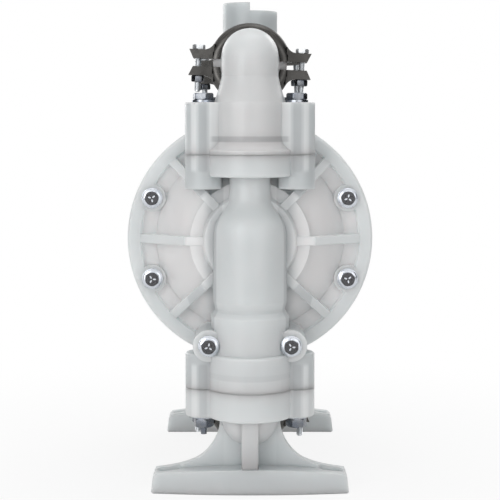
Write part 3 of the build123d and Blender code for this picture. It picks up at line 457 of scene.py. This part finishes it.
def rubber(name="black_rubber"):
    """Matt black rubber with a fine grain."""
    finish = Finish(name)
    grain = finish.noise(0.0008, 2)
    finish.bump(grain, 0.00005, 0.4)
    return finish.set(
        Base_Color=finish.mix(grain, (0.018, 0.018, 0.019), (0.035, 0.035, 0.036)),
        Roughness=finish.ramp(grain, 0.3, 0.7, 0.55, 0.7))


def textured_plastic(name, colour):
    """Moulded plastic with a fine spark-eroded grain."""
    finish = Finish(name)
    grain = finish.noise(0.0007, 3)
    pale = tuple(min(1.0, channel * 1.35) for channel in colour)
    finish.bump(grain, 0.00008, 0.5)
    return finish.set(
        Base_Color=finish.mix(finish.ramp(finish.noise(0.02), 0.3, 0.7), tuple(colour), pale),
        Roughness=finish.ramp(grain, 0.3, 0.7, 0.42, 0.6))


def turned_metal(name, colour, roughness):
    """Machined metal with a soft, cloudy tone."""
    finish = Finish(name)
    grain = finish.noise(0.001, 3)
    dark = tuple(channel * 0.8 for channel in colour)
    finish.bump(grain, 0.00003, 0.3)
    return finish.set(
        Base_Color=finish.mix(finish.ramp(finish.noise(0.008), 0.3, 0.7), tuple(colour), dark), Metallic=1.0,
        Roughness=finish.ramp(grain, 0.3, 0.7, roughness - 0.05, roughness + 0.1))


def white_ptfe(name="ptfe"):
    """Smooth, waxy white plastic of the balls."""
    finish = Finish(name)
    tone = finish.ramp(finish.noise(0.006), 0.3, 0.7)
    return finish.set(
        Base_Color=finish.mix(tone, (0.80, 0.80, 0.79), (0.74, 0.74, 0.72)),
        Roughness=finish.ramp(finish.noise(0.001), 0.3, 0.7, 0.4, 0.5))


def slot_of(node):
    """The material slot that the record gives a node."""
    for part in frame["record"]["subparts"]:
        if part["node"] == node:
            return part["material_slot"]
    raise RuntimeError("no slot for " + node)


class PUMP_OT_finish_nodes(bpy.types.Operator):
    """Gives every carried CAD node the finish of its material"""
    bl_idname = "pump.finish_nodes"
    bl_label = "Finish CAD nodes"

    def execute(self, context):
        settings = context.scene.pump_finish
        seams = (LOWER_SEAM, UPPER_SEAM)
        finishes = {
            "polypropylene": polypropylene(settings),
            "black_rubber": rubber(),
            "ptfe": white_ptfe(),
            "stainless": satin_steel("clamp_steel", tuple(settings.clamp_steel), 0.28),
            "zinc_plated": plated_steel(settings),
            "aluminium": turned_metal("aluminium", (0.62, 0.63, 0.64), 0.38),
            "acetal": textured_plastic("acetal", (0.62, 0.62, 0.60)),
            "brass": turned_metal("brass", (0.70, 0.52, 0.25), 0.28),
            "grey_plastic": textured_plastic("grey_plastic", tuple(settings.grey_plastic)),
        }
        chamber = polypropylene(settings, "chamber_plastic", chamber=True, seams=seams)
        jointed = polypropylene(settings, "jointed_plastic", seams=seams)
        # the feet get painted shade towards their bottoms
        footed = polypropylene(settings, "foot_plastic", foot=True, seams=(LOWER_SEAM,))
        # the manifold gets painted shade, as it lies further back and less light reaches it
        painted_shade_manifold = polypropylene(settings, "manifold_plastic", tone=0.85)
        capped_steel(settings)
        plated_steel(settings, "dull_zinc", 0.55)
        for name, node in frame["nodes"].items():
            finish = finishes[slot_of(name)]
            if name.startswith("outer_chamber"):
                finish = chamber
            elif name.startswith("outlet_elbow"):
                finish = jointed
            elif name.startswith("foot_elbow"):
                finish = footed
            elif name.endswith("_manifold"):
                finish = painted_shade_manifold
            for slot in node.material_slots:
                slot.material = finish
        return {"FINISHED"}


# Modelling helpers

def deselect():
    if bpy.context.object and bpy.context.object.mode != "OBJECT":
        bpy.ops.object.mode_set(mode="OBJECT")
    bpy.ops.object.select_all(action="DESELECT")


def apply_modifier(piece, kind, **settings):
    modifier = piece.modifiers.new(kind.lower(), kind)
    for name, value in settings.items():
        setattr(modifier, name, value)
    bpy.context.view_layer.objects.active = piece
    bpy.ops.object.modifier_apply(modifier=modifier.name)


def cylinder(radius, bottom, top, vertices=48, top_radius=None):
    """A closed upright cylinder or cone between two heights on the Z axis."""
    deselect()
    bpy.ops.mesh.primitive_cone_add(
        vertices=vertices, radius1=radius, radius2=radius if top_radius is None else top_radius,
        depth=top - bottom, location=(0, 0, (bottom + top) / 2))
    bpy.ops.object.transform_apply()
    return bpy.context.object


def cut(piece, tool, operation="DIFFERENCE"):
    """Takes the tool out of the piece, or keeps what they share, and removes the tool."""
    apply_modifier(piece, "BOOLEAN", operation=operation, object=tool, solver="EXACT")
    bpy.data.objects.remove(tool)
    return piece


def join(pieces):
    deselect()
    for piece in pieces:
        piece.select_set(True)
    bpy.context.view_layer.objects.active = pieces[0]
    bpy.ops.object.join()
    return bpy.context.object


def hexagon(corner_r, bottom, top, bore=None):
    """A hexagonal head or nut with its corners turned off and its edges eased."""
    head = cylinder(corner_r, bottom, top, 6)
    turned = cylinder(corner_r * 0.985, bottom, top, 60)
    apply_modifier(turned, "BEVEL", width=corner_r * 0.13, segments=1, limit_method="ANGLE",
                   angle_limit=math.radians(60))
    cut(head, turned, "INTERSECT")
    if bore:
        cut(head, cylinder(bore, bottom - MM, top + MM, 32))
    apply_modifier(head, "BEVEL", width=0.12 * MM, segments=2, limit_method="ANGLE",
                   angle_limit=math.radians(25))
    return head


def set_down(piece, place):
    """Moves a piece to its place and applies the move to its mesh."""
    deselect()
    piece.select_set(True)
    bpy.context.view_layer.objects.active = piece
    piece.matrix_world = place
    bpy.ops.object.transform_apply()
    return piece


def thread(radius, bottom, top, pitch, tip):
    """A core with one helical ridge, and a narrower plain tip of the given length below."""
    depth = pitch * 0.55
    start = bottom + tip
    turns = int((top - start) / pitch - 0.6)
    deselect()
    bpy.ops.mesh.primitive_circle_add(vertices=3, radius=pitch * 0.52)
    ridge = bpy.context.object
    set_down(ridge, Matrix.Rotation(-math.pi / 2, 4, "Z"))
    stand = Matrix.Rotation(math.pi / 2, 4, "X") @ Matrix.Scale(depth / (pitch * 0.78), 4, (1, 0, 0))
    set_down(ridge, Matrix.Translation((radius - depth * 2 / 3, 0, start + pitch * 0.55)) @ stand)
    apply_modifier(ridge, "SCREW", angle=2 * math.pi, screw_offset=pitch, iterations=turns, steps=20,
                   render_steps=20, axis="Z", use_merge_vertices=False)
    bpy.ops.object.mode_set(mode="EDIT")
    bpy.ops.mesh.select_all(action="DESELECT")
    bpy.ops.mesh.select_non_manifold()
    bpy.ops.mesh.fill()
    bpy.ops.mesh.select_all(action="SELECT")
    bpy.ops.mesh.normals_make_consistent(inside=False)
    bpy.ops.object.mode_set(mode="OBJECT")
    core_r = radius - depth * 0.9
    core = cylinder(core_r, start, top, 24)
    point = cylinder(core_r - 0.5 * MM, bottom, start, 24, core_r - 0.2 * MM)
    return join([ridge, core, point])


def copies_at(template, places, keep=False):
    """Copies the template to each place, each copy with its own mesh; the template goes unless it is kept."""
    copies = []
    for place in places:
        copy = template.copy()
        copy.data = template.data.copy()
        bpy.context.scene.collection.objects.link(copy)
        copies.append(set_down(copy, place))
    if not keep:
        bpy.data.objects.remove(template)
    return copies


def finish_piece(piece, name, body, slot, *nodes, material=None):
    """Names and shades a piece, gives it its finish and ties it to the frame."""
    piece.name = name
    piece.data.name = name
    deselect()
    piece.select_set(True)
    bpy.context.view_layer.objects.active = piece
    bpy.ops.object.shade_smooth_by_angle(angle=math.radians(32))
    piece.data.materials.clear()
    piece.data.materials.append(bpy.data.materials[material or slot])
    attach(piece, body)
    if nodes:
        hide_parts(*nodes)
    return piece


def towards(point, direction, turn=0.0):
    """Stands a piece that was made along +Z at a point, along a direction, turned about itself."""
    spin = Vector(direction).to_track_quat("Z", "Y").to_matrix().to_4x4()
    return Matrix.Translation(point) @ spin @ Matrix.Rotation(turn, 4, "Z")


# Fasteners

def rim_spots(face_side):
    """Gives the place, direction and turn of each rim bolt, for the front (-1) or the rear (1)."""
    spots = []
    for across in (-1, 1):
        for up in (-1, 1):
            x = across * RIM_BOLT_R * math.cos(RIM_BOLT_ANGLE)
            z = SHAFT_Z + up * RIM_BOLT_R * math.sin(RIM_BOLT_ANGLE)
            spots.append((x, z, RIM_FACE))
        spots.append((across * LUG_X, SHAFT_Z - LUG_RISE, LUG_FACE))
        spots.append((across * LUG_X, SHAFT_Z + LUG_RISE, RIM_FACE))
    return [(Vector((x, face_side * face, z)), (0, face_side, 0), index * 0.7) for index, (x, z, face) in
            enumerate(spots)]


def flange_bolt():
    """Head of a flange bolt on z = 0: a sloped flange, a dished hexagon and three raised marks."""
    flange = cylinder(FLANGE_R, 0, FLANGE_TOP, 48)
    slope = cylinder(FLANGE_R - 0.2 * MM, FLANGE_TOP, SLOPE_TOP, 48, FLANGE_R - 2 * MM)
    for part in (flange, slope):
        apply_modifier(part, "BEVEL", width=0.25 * MM, segments=2, limit_method="ANGLE",
                       angle_limit=math.radians(40))
    head = hexagon(M6_CORNER_R, HEAD_FOOT, HEAD_TOP)
    cut(head, cylinder(DISH_R, DISH_FLOOR, 6 * MM, 32))
    marks = []
    for turn in range(3):
        mark = cylinder(MARK_R, MARK_FOOT, MARK_TOP, 12)
        place = Matrix.Rotation(turn * 2 * math.pi / 3, 4, "Z") @ Matrix.Translation((MARK_OUT, 0, 0))
        marks.append(set_down(mark, place @ Matrix.Scale(2.0, 4, (1, 0, 0))))
    return join([flange, slope, head, *marks])


class PUMP_OT_rim_bolts(bpy.types.Operator):
    """Models the flange bolts round both chamber rims"""
    bl_idname = "pump.rim_bolts"
    bl_label = "Rim bolts"

    def execute(self, context):
        for end, side in (("front", -1), ("rear", 1)):
            head = flange_bolt()
            node = f"chamber_bolts_{end}"
            inner = min(abs(corner.y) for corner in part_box(node))
            shanks = []
            for point, direction, _ in rim_spots(side):
                shank = cylinder(M6_THREAD_R, inner - abs(point.y), 0.5 * MM, 24)
                shanks.append(set_down(shank, towards(point, direction)))
            heads = copies_at(head, [towards(*spot) for spot in rim_spots(side)])
            finish_piece(join(heads + shanks), f"rim_bolts_{end}", "pump", "zinc_plated", node,
                         material="rim_bolt_zinc")
        return {"FINISHED"}


class PUMP_OT_column_fasteners(bpy.types.Operator):
    """Models the bolts, nuts and studs of the column joints"""
    bl_idname = "pump.column_fasteners"
    bl_label = "Column fasteners"

    def execute(self, context):
        columns = [Vector((across * JOINT_BOLT_X, side * COLUMN_Y, 0))
                   for side in (-1, 1) for across in (-1, 1)]
        low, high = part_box("elbow_bolts")
        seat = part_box("elbow_washers")[1].z
        head = hexagon(ELBOW_CORNER_R, seat, high.z)
        cut(head, cylinder(ELBOW_DISH_R, high.z - ELBOW_DISH_DEPTH, high.z + MM, 40))
        shank = cylinder(M6_THREAD_R, low.z, seat + MM, 24)
        bolt = join([head, shank])
        places = [Matrix.Translation(spot) @ Matrix.Rotation(index * 0.4 + 0.26, 4, "Z")
                  for index, spot in enumerate(columns)]
        finish_piece(join(copies_at(bolt, places)), "elbow_bolt_set", "pump", "zinc_plated", "elbow_bolts",
                     material="dull_zinc")

        low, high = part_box("foot_nuts")
        nut = hexagon(NUT_CORNER_R, low.z, high.z, M6_THREAD_R + 0.05 * MM)
        finish_piece(join(copies_at(nut, places)), "foot_nut_set", "pump", "zinc_plated", "foot_nuts",
                     material="dull_zinc")

        stud_end, stud_top = (corner.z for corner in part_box("foot_studs"))
        studs = []
        for index, spot in enumerate(columns):
            long = (spot.x < 0) == (spot.y < 0)
            stud = thread(M6_THREAD_R, stud_end if long else low.z - 1.0 * MM, stud_top, 1.0 * MM,
                          low.z - stud_end if long else 0.6 * MM)
            studs.append(set_down(stud, Matrix.Translation(spot)))
        finish_piece(join(studs), "foot_stud_set", "pump", "zinc_plated", "foot_studs",
                     material="dull_zinc")
        return {"FINISHED"}


def clamp_frames():
    """Gives each clamp's name, its end and the place and tilt of its middle."""
    frames = []
    for pipe in ("inlet", "outlet"):
        for side, end in ((-1, "front"), (1, "rear")):
            low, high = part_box(f"{pipe}_clamp_{end}")
            tilt = Matrix.Rotation(-CLAMP_TILT * side, 4, "Y")
            frames.append((f"{pipe}_clamp", end, Matrix.Translation((low + high) / 2) @ tilt))
    return frames


class PUMP_OT_clamp_fasteners(bpy.types.Operator):
    """Models the bolts and nuts of the V-band clamps"""
    bl_idname = "pump.clamp_fasteners"
    bl_label = "Clamp fasteners"

    def execute(self, context):
        places = []
        for _, end, middle in clamp_frames():
            for across in (-1, 1):
                turn = Matrix.Rotation(0.35 * across + (1 if end == "rear" else -1), 4, "Z")
                places.append(middle @ Matrix.Translation((across * CLAMP_BOLT_X, 0, 0)) @ turn)
        head = hexagon(M5_CORNER_R, CLAMP_EAR_FACE, CLAMP_EAR_FACE + M5_HEAD)
        rod = thread(M5_THREAD_R, -CLAMP_EAR_FACE - M5_ROD_BELOW_EAR, CLAMP_EAR_FACE + 0.5 * MM, 0.8 * MM,
                     0.6 * MM)
        bolts = copies_at(join([head, rod]), places)
        finish_piece(join(bolts), "clamp_bolt_set", "pump", "zinc_plated", "clamp_bolts")
        nut = hexagon(M5_CORNER_R, -CLAMP_EAR_FACE - M5_NUT, -CLAMP_EAR_FACE, M5_THREAD_R + 0.05 * MM)
        nuts = copies_at(nut, places)
        finish_piece(join(nuts), "clamp_nut_set", "pump", "zinc_plated", "clamp_nuts", material="dull_zinc")
        return {"FINISHED"}


# Smaller forms round the CAD nodes

def block(low, high):
    """A box between two corners."""
    deselect()
    middle = [(start + end) / 2 for start, end in zip(low, high)]
    bpy.ops.mesh.primitive_cube_add(size=1, location=middle)
    bpy.context.object.scale = [end - start for start, end in zip(low, high)]
    bpy.ops.object.transform_apply()
    return bpy.context.object


def level_cylinder(radius, x, z, half):
    """A cylinder along Y."""
    piece = cylinder(radius, -half, half, 96)
    return set_down(piece, Matrix.Translation((x, 0, z)) @ Matrix.Rotation(math.pi / 2, 4, "X"))


def move_corners(piece, chosen, way):
    """Moves the corners of a piece that a test chooses."""
    bpy.ops.object.mode_set(mode="EDIT")
    bpy.ops.mesh.select_all(action="DESELECT")
    bpy.ops.object.mode_set(mode="OBJECT")
    for vertex in piece.data.vertices:
        vertex.select = chosen(vertex.co)
    bpy.ops.object.mode_set(mode="EDIT")
    bpy.ops.transform.translate(value=way)
    bpy.ops.object.mode_set(mode="OBJECT")


def clamp_root():
    """The filled corner between the outside of a clamp's band and its ear, hollowed to a curve."""
    curve_z = CLAMP_EAR_FACE + CLAMP_ROOT_R
    curve_x = math.sqrt((CLAMP_BAND_R + CLAMP_ROOT_R) ** 2 - curve_z ** 2)
    touch = CLAMP_BAND_R / (CLAMP_BAND_R + CLAMP_ROOT_R)
    root = block((curve_x * touch - 0.6 * MM, -CLAMP_ROOT_HALF, CLAMP_EAR_FACE - 1.5 * MM),
                 (curve_x, CLAMP_ROOT_HALF, curve_z * touch))
    cut(root, level_cylinder(CLAMP_ROOT_R, curve_x, curve_z, 10 * MM))
    apply_modifier(root, "BEVEL", width=0.7 * MM, segments=3, limit_method="ANGLE",
                   angle_limit=math.radians(50))
    return root


class PUMP_OT_clamp_roots(bpy.types.Operator):
    """Models the curved roots where the clamp bands run out into their ears"""
    bl_idname = "pump.clamp_roots"
    bl_label = "Clamp roots"

    def execute(self, context):
        root = clamp_root()
        turns = [Matrix.Rotation(over, 4, "Y") @ Matrix.Rotation(about, 4, "Z")
                 for over in (0, math.pi) for about in (0, math.pi)]
        for clamp, end, middle in clamp_frames():
            roots = copies_at(root, [middle @ turn for turn in turns], keep=True)
            finish_piece(join(roots), f"{clamp}_roots_{end}", "pump", "stainless", material="clamp_steel")
        bpy.data.objects.remove(root)
        return {"FINISHED"}


def at_front_foot(corner):
    return corner.y < -FOOT_RIB_FRONT + MM and corner.z < FOOT_RIB_BOTTOM + MM


class PUMP_OT_foot_ribs(bpy.types.Operator):
    """Models the raised front of each foot's middle rib"""
    bl_idname = "pump.foot_ribs"
    bl_label = "Foot ribs"

    def execute(self, context):
        for end in ("front", "rear"):
            rib = block((-FOOT_RIB_HALF, -FOOT_RIB_FRONT, FOOT_RIB_BOTTOM),
                        (FOOT_RIB_HALF, -FOOT_RIB_BACK, FOOT_RIB_TOP))
            # its front leans back towards the foot
            move_corners(rib, at_front_foot, (0, FOOT_RIB_LEAN, 0))
            apply_modifier(rib, "BEVEL", width=0.8 * MM, segments=3, limit_method="ANGLE",
                           angle_limit=math.radians(40))
            if end == "rear":
                set_down(rib, Matrix.Rotation(math.pi, 4, "Z"))
            finish_piece(rib, f"foot_rib_{end}", "pump", "polypropylene", material="foot_plastic")
        return {"FINISHED"}


# Studio

def studio_material(name, colour, white):
    """A pale stage surface, lifted towards white for what looks at it directly."""
    finish = Finish(name)
    nodes = finish.tree.nodes
    emission = nodes.new("ShaderNodeEmission")
    emission.inputs["Color"].default_value = (1, 1, 1, 1)
    mixer = nodes.new("ShaderNodeMixShader")
    path = finish.node("ShaderNodeLightPath")
    seen = finish.value(path["Is Camera Ray"]) + finish.value(path["Is Glossy Ray"])
    seen = seen + finish.value(path["Is Transmission Ray"])
    from_middle = (finish.x * finish.x + finish.y * finish.y).sqrt()
    finish.feed(mixer.inputs[0], seen.at_most(1.0) * finish.ramp(from_middle, 0.10, 0.45, white, 1.0))
    finish.tree.links.new(finish.shader.outputs[0], mixer.inputs[1])
    finish.tree.links.new(emission.outputs[0], mixer.inputs[2])
    finish.tree.links.new(mixer.outputs[0], nodes["Material Output"].inputs["Surface"])
    return finish.set(Base_Color=colour, Roughness=0.9)


def dark_card(name):
    """Near-black card, a little paler towards its top."""
    finish = Finish(name)
    tone = finish.ramp(finish.z, -0.2, 1.2)
    return finish.set(Base_Color=finish.mix(tone, (0.01, 0.01, 0.01), (0.03, 0.03, 0.03)), Roughness=1.0,
                      Specular_IOR_Level=0.0)


def area_light(name, place, target, size, power):
    """Adds a round softbox that faces the target."""
    data = bpy.data.lights.new(name, "AREA")
    data.shape = "DISK"
    data.size = size
    data.energy = power
    light = bpy.data.objects.new(name, data)
    bpy.context.scene.collection.objects.link(light)
    light.location = place
    light.rotation_mode = "QUATERNION"
    light.rotation_quaternion = (Vector(target) - Vector(place)).to_track_quat("-Z", "Y")


class PUMP_OT_stage(bpy.types.Operator):
    """Adds the floor, soft lights, white surround and camera"""
    bl_idname = "pump.stage"
    bl_label = "Set the stage"

    def execute(self, context):
        settings = context.scene.pump_stage
        scene = context.scene
        deselect()
        bpy.ops.mesh.primitive_plane_add(size=FLOOR_SIZE, location=(0, 0, 0))
        floor = context.object
        floor.name = "studio_floor"
        floor.data.materials.append(studio_material("studio_floor", (0.86, 0.86, 0.86), FLOOR_WHITE))

        world = bpy.data.worlds.new("studio")
        world.use_nodes = True
        scene.world = world
        tree = world.node_tree
        background = tree.nodes["Background"]
        path = tree.nodes.new("ShaderNodeLightPath")
        seen = Value(tree, path.outputs["Is Camera Ray"]) + Value(tree, path.outputs["Is Glossy Ray"])
        seen = (seen + Value(tree, path.outputs["Is Transmission Ray"])).at_most(1.0)
        strength = seen * (1 - WORLD_LIGHT) + WORLD_LIGHT
        tree.links.new(strength.socket, background.inputs["Strength"])
        background.inputs["Color"].default_value = (1, 1, 1, 1)

        for name, place, size, power in LAMPS:
            area_light(name, place, AIM, size, power)
        # dark cards at both sides that only metal and gloss show
        for side, across in (("left", -CARD_X), ("right", CARD_X)):
            deselect()
            bpy.ops.mesh.primitive_plane_add(size=1, location=(across, *CARD_MIDDLE),
                                             rotation=(0, math.pi / 2, 0))
            card = context.object
            card.name = side + "_card"
            card.scale = (*CARD_SIZE, 1)
            bpy.ops.object.transform_apply()
            card.data.materials.append(dark_card(side + "_card"))
            for ray in ("camera", "diffuse", "transmission", "shadow", "volume_scatter"):
                setattr(card, "visible_" + ray, False)

        camera_data = bpy.data.cameras.new("camera")
        camera = bpy.data.objects.new("camera", camera_data)
        scene.collection.objects.link(camera)
        camera.location = (0, -settings.distance, settings.height)
        camera.rotation_euler = (math.pi / 2 - settings.pitch, 0, 0)
        camera_data.lens = settings.lens
        camera_data.sensor_width = 36
        camera_data.shift_y = settings.shift
        scene.camera = camera
        scene.view_settings.view_transform = "Standard"
        return {"FINISHED"}


class PUMP_PT_panel(bpy.types.Panel):
    bl_idname = "PUMP_PT_panel"
    bl_label = "Diaphragm pump"
    bl_space_type = "VIEW_3D"
    bl_region_type = "UI"
    bl_category = "Pump"

    def draw(self, context):
        layout = self.layout
        for group in (context.scene.pump_finish, context.scene.pump_stage):
            for name in group.__annotations__:
                layout.prop(group, name)
        for operator in OPERATORS:
            layout.operator(operator.bl_idname)


OPERATORS = (PUMP_OT_finish_nodes, PUMP_OT_rim_bolts, PUMP_OT_column_fasteners, PUMP_OT_clamp_fasteners,
             PUMP_OT_clamp_roots, PUMP_OT_foot_ribs, PUMP_OT_stage)
CLASSES = (PumpFinishSettings, PumpStageSettings, *OPERATORS, PUMP_PT_panel)


def register():
    for cls in CLASSES:
        bpy.utils.register_class(cls)
    bpy.types.Scene.pump_finish = PointerProperty(type=PumpFinishSettings)
    bpy.types.Scene.pump_stage = PointerProperty(type=PumpStageSettings)


def unregister():
    del bpy.types.Scene.pump_stage
    del bpy.types.Scene.pump_finish
    for cls in reversed(CLASSES):
        bpy.utils.unregister_class(cls)


def main():
    register()
    for operator in OPERATORS:
        group, name = operator.bl_idname.split(".")
        getattr(getattr(bpy.ops, group), name)()


if __name__ == "__main__":
    main()
